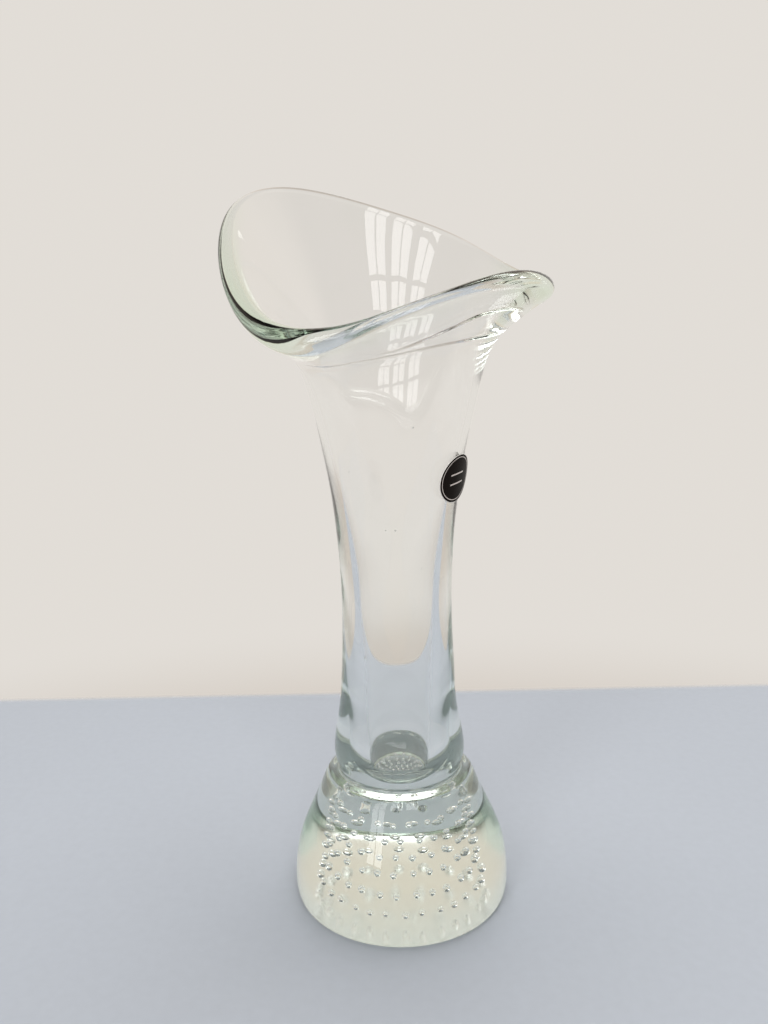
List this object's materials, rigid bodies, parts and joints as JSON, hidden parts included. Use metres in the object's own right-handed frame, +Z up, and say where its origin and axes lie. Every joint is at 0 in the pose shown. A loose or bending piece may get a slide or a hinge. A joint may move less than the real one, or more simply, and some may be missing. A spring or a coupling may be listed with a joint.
{
  "type": "art glass vase",
  "caption": "Clear blown glass vase with a heavy bubble-filled foot, slim waist and a folded lip drawn out to a lobe and a tip.",
  "frame": {"origin": "centre of the ground base, on the surface that the vase stands on", "axes": "+Z up along the stem, +X towards the pulled tip of the lip, -Y the front, -X towards the drawn lobe"},
  "size_m": [0.1152, 0.0961, 0.2653],
  "materials": {
    "clear_glass": "fire-polished clear glass, faintly green where it is thick",
    "bubbled_glass": "clear glass with rows of trapped air bubbles",
    "dark_foil": "black glossy foil face on a thin paper backing"
  },
  "bodies": {
    "root": {"bowl": "clear_glass", "foot_casing": "clear_glass", "foot_core": "bubbled_glass", "label": "dark_foil"}
  },
  "joints": []
}
